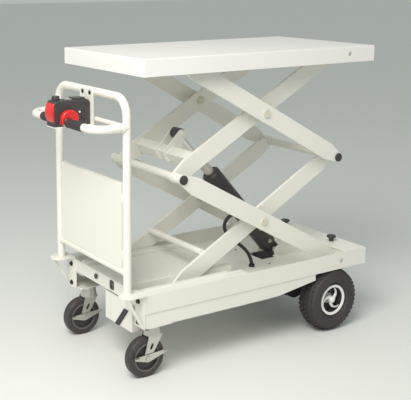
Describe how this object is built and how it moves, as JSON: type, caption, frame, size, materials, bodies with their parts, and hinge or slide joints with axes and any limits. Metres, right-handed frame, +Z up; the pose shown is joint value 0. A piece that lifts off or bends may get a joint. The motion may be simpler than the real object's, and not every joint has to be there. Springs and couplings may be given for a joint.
{
  "type": "scissor lift cart",
  "caption": "Powered platform cart whose deck carries a double scissor lift table, with a tubular handle and control head, driven wheels and braked swivel casters.",
  "frame": {"origin": "on the floor, under the middle of the whole cart's bounding box", "axes": "+X from the handle end to the drive end, +Y towards the far side, +Z up"},
  "size_m": [1.2, 0.556, 1.06],
  "materials": {
    "ivory_paint": "smooth satin powder coat",
    "table_paint": "smooth satin powder coat",
    "black_paint": "satin",
    "black_plastic": "fine grain",
    "battery_case": "plain",
    "red_plastic": "gloss",
    "black_rubber": "matt",
    "caster_rubber": "matt",
    "tyre_rubber": "matt",
    "white_rim": "gloss",
    "zinc_steel": "bright zinc plate",
    "turned_steel": "turned",
    "dark_bolt": "black oxide",
    "cream_pin": "satin",
    "chrome_rod": "polished",
    "brass_fitting": "bright"
  },
  "bodies": {
    "chassis": {"side_rails": "ivory_paint", "end_plates": "ivory_paint", "handle_deck": "ivory_paint", "drive_pan": "ivory_paint", "pivot_brackets": "ivory_paint", "handle_frame": "ivory_paint", "handle_panel": "ivory_paint", "push_bow": "ivory_paint", "push_bow_grips": "black_rubber", "handle_brackets": "ivory_paint", "frame_bolts": "dark_bolt", "head_hanger": "ivory_paint", "control_head": "black_plastic", "charging_socket": "black_plastic", "control_box": "ivory_paint", "batteries": "battery_case", "wiring_conduit": "black_rubber", "drive_axle": "black_paint", "drive_motor": "black_paint", "pump_unit": "black_paint", "caster_plates": "ivory_paint", "hose_grommet": "black_rubber", "hydraulic_hose": "black_rubber"},
    "lower_outer": {"lower_outer_arms": "ivory_paint", "left_joint_tube": "ivory_paint", "left_joint_caps": "black_plastic", "lower_arm_pins": "cream_pin"},
    "lower_inner": {"lower_inner_arms": "ivory_paint", "lower_cross_tubes": "ivory_paint", "right_joint_caps": "black_plastic"},
    "lower_roller_pair": {"lower_rollers": "turned_steel"},
    "upper_inner": {"upper_inner_arms": "ivory_paint", "lift_beam": "ivory_paint"},
    "upper_outer": {"upper_outer_arms": "ivory_paint", "upper_arm_pins": "cream_pin"},
    "upper_roller_pair": {"upper_rollers": "turned_steel"},
    "table": {"table_top": "table_paint", "table_underframe": "ivory_paint"},
    "barrel": {"cylinder_barrel": "black_paint", "barrel_fittings": "brass_fitting"},
    "rod": {"piston_rod": "chrome_rod", "rod_eye": "black_paint"},
    "throttle": {"throttle_lever": "red_plastic"},
    "reverse_switch": {"reverse_button": "red_plastic"},
    "speed_dial": {"speed_knob": "black_plastic"},
    "lift_switch": {"lift_rocker": "black_plastic"},
    "power_switch": {"power_button": "black_plastic"},
    "cover": {"drive_end_cover": "ivory_paint"},
    "left_drive_wheel": {"left_drive_tyre": "tyre_rubber", "left_drive_rim": "white_rim"},
    "left_caster": {"left_caster_fork": "zinc_steel"},
    "left_caster_roller": {"left_caster_wheel": "caster_rubber"},
    "left_caster_pedal": {"left_caster_brake": "zinc_steel"},
    "left_knob": {"left_cover_knob": "black_plastic"},
    "right_drive_wheel": {"right_drive_tyre": "tyre_rubber", "right_drive_rim": "white_rim"},
    "right_caster": {"right_caster_fork": "zinc_steel"},
    "right_caster_roller": {"right_caster_wheel": "caster_rubber"},
    "right_caster_pedal": {"right_caster_brake": "zinc_steel"},
    "right_knob": {"right_cover_knob": "black_plastic"}
  },
  "joints": [
    {"name": "lift", "type": "hinge", "parent": "chassis", "child": "lower_outer", "pos_m": [0.476, 0, 0.264], "axis": [0, 1, 0], "range_deg": [-17.96, 0]},
    {"name": "lower_scissor", "type": "hinge", "parent": "lower_outer", "child": "lower_inner", "pos_m": [0.12822, 0, 0.4565], "axis": [0, 1, 0], "range_deg": [0, 35.93]},
    {"name": "left_joint", "type": "hinge", "parent": "lower_outer", "child": "upper_inner", "pos_m": [-0.21956, 0, 0.649], "axis": [0, 1, 0], "range_deg": [0, 35.93]},
    {"name": "upper_scissor", "type": "hinge", "parent": "upper_inner", "child": "upper_outer", "pos_m": [0.12822, 0, 0.8415], "axis": [0, 1, 0], "range_deg": [-35.93, 0]},
    {"name": "table_pivot", "type": "hinge", "parent": "upper_inner", "child": "table", "pos_m": [0.476, 0, 1.034], "axis": [0, 1, 0], "range_deg": [-17.96, 0]},
    {"name": "lower_roller_spin", "type": "hinge", "parent": "lower_inner", "child": "lower_roller_pair", "pos_m": [-0.21956, 0, 0.264], "axis": [0, 1, 0], "continuous": true},
    {"name": "upper_roller_spin", "type": "hinge", "parent": "upper_outer", "child": "upper_roller_pair", "pos_m": [-0.21956, 0, 1.034], "axis": [0, 1, 0], "continuous": true},
    {"name": "barrel_tilt", "type": "hinge", "parent": "chassis", "child": "barrel", "pos_m": [0.354, 0, 0.264], "axis": [0, 1, 0], "range_deg": [-24.67, 0]},
    {"name": "rod_slide", "type": "slide", "parent": "barrel", "child": "rod", "axis": [-0.6662, 0, 0.7457], "range_m": [-0.12031, 0]},
    {"name": "throttle_turn", "type": "hinge", "parent": "chassis", "child": "throttle", "pos_m": [-0.5535, 0, 0.846], "axis": [0, 1, 0], "range_deg": [-25, 25], "stiffness_Nm_per_rad": 1},
    {"name": "reverse_press", "type": "slide", "parent": "chassis", "child": "reverse_switch", "axis": [1, 0, 0], "range_m": [0, 0.004], "stiffness_N_per_m": 1500, "springref_m": -0.001},
    {"name": "speed_turn", "type": "hinge", "parent": "chassis", "child": "speed_dial", "pos_m": [-0.571, 0, 0.915], "axis": [0, 0, 1], "range_deg": [0, 270]},
    {"name": "lift_rock", "type": "hinge", "parent": "chassis", "child": "lift_switch", "pos_m": [-0.486, -0.025, 0.866], "axis": [1, 0, 0], "range_deg": [-6, 6], "stiffness_Nm_per_rad": 0.3},
    {"name": "power_press", "type": "slide", "parent": "chassis", "child": "power_switch", "axis": [1, 0, 0], "range_m": [0, 0.002], "stiffness_N_per_m": 800, "springref_m": -0.0005},
    {"name": "cover_lift", "type": "slide", "parent": "chassis", "child": "cover", "axis": [0, 0, 1], "range_m": [0, 0.08]},
    {"name": "left_wheel_spin", "type": "hinge", "parent": "chassis", "child": "left_drive_wheel", "pos_m": [0.434, 0.235, 0.118], "axis": [0, 1, 0], "continuous": true},
    {"name": "left_caster_swivel", "type": "hinge", "parent": "chassis", "child": "left_caster", "pos_m": [-0.337, 0.217, 0.184], "axis": [0, 0, 1], "continuous": true},
    {"name": "left_caster_roll", "type": "hinge", "parent": "left_caster", "child": "left_caster_roller", "pos_m": [-0.369, 0.217, 0.0695], "axis": [0, 1, 0], "continuous": true},
    {"name": "left_pedal_press", "type": "hinge", "parent": "left_caster", "child": "left_caster_pedal", "pos_m": [-0.369, 0.217, 0.0695], "axis": [0, 1, 0], "range_deg": [-12, 0]},
    {"name": "left_knob_turn", "type": "hinge", "parent": "cover", "child": "left_knob", "pos_m": [0.543, 0.134, 0.295], "axis": [0, 0, 1], "continuous": true},
    {"name": "right_wheel_spin", "type": "hinge", "parent": "chassis", "child": "right_drive_wheel", "pos_m": [0.434, -0.235, 0.118], "axis": [0, 1, 0], "continuous": true},
    {"name": "right_caster_swivel", "type": "hinge", "parent": "chassis", "child": "right_caster", "pos_m": [-0.337, -0.217, 0.184], "axis": [0, 0, 1], "continuous": true},
    {"name": "right_caster_roll", "type": "hinge", "parent": "right_caster", "child": "right_caster_roller", "pos_m": [-0.369, -0.217, 0.0695], "axis": [0, 1, 0], "continuous": true},
    {"name": "right_pedal_press", "type": "hinge", "parent": "right_caster", "child": "right_caster_pedal", "pos_m": [-0.369, -0.217, 0.0695], "axis": [0, 1, 0], "range_deg": [-12, 0]},
    {"name": "right_knob_turn", "type": "hinge", "parent": "cover", "child": "right_knob", "pos_m": [0.543, -0.134, 0.295], "axis": [0, 0, 1], "continuous": true}
  ],
  "couplings": [
    {"joint": "lower_scissor", "follows": "lift", "ratio": -2},
    {"joint": "left_joint", "follows": "lift", "ratio": -2},
    {"joint": "upper_scissor", "follows": "lift", "ratio": 2},
    {"joint": "table_pivot", "follows": "lift", "ratio": 1},
    {"joint": "barrel_tilt", "follows": "lift", "ratio": 1.3732},
    {"joint": "rod_slide", "follows": "lift", "m_per_rad": 0.38368}
  ]
}
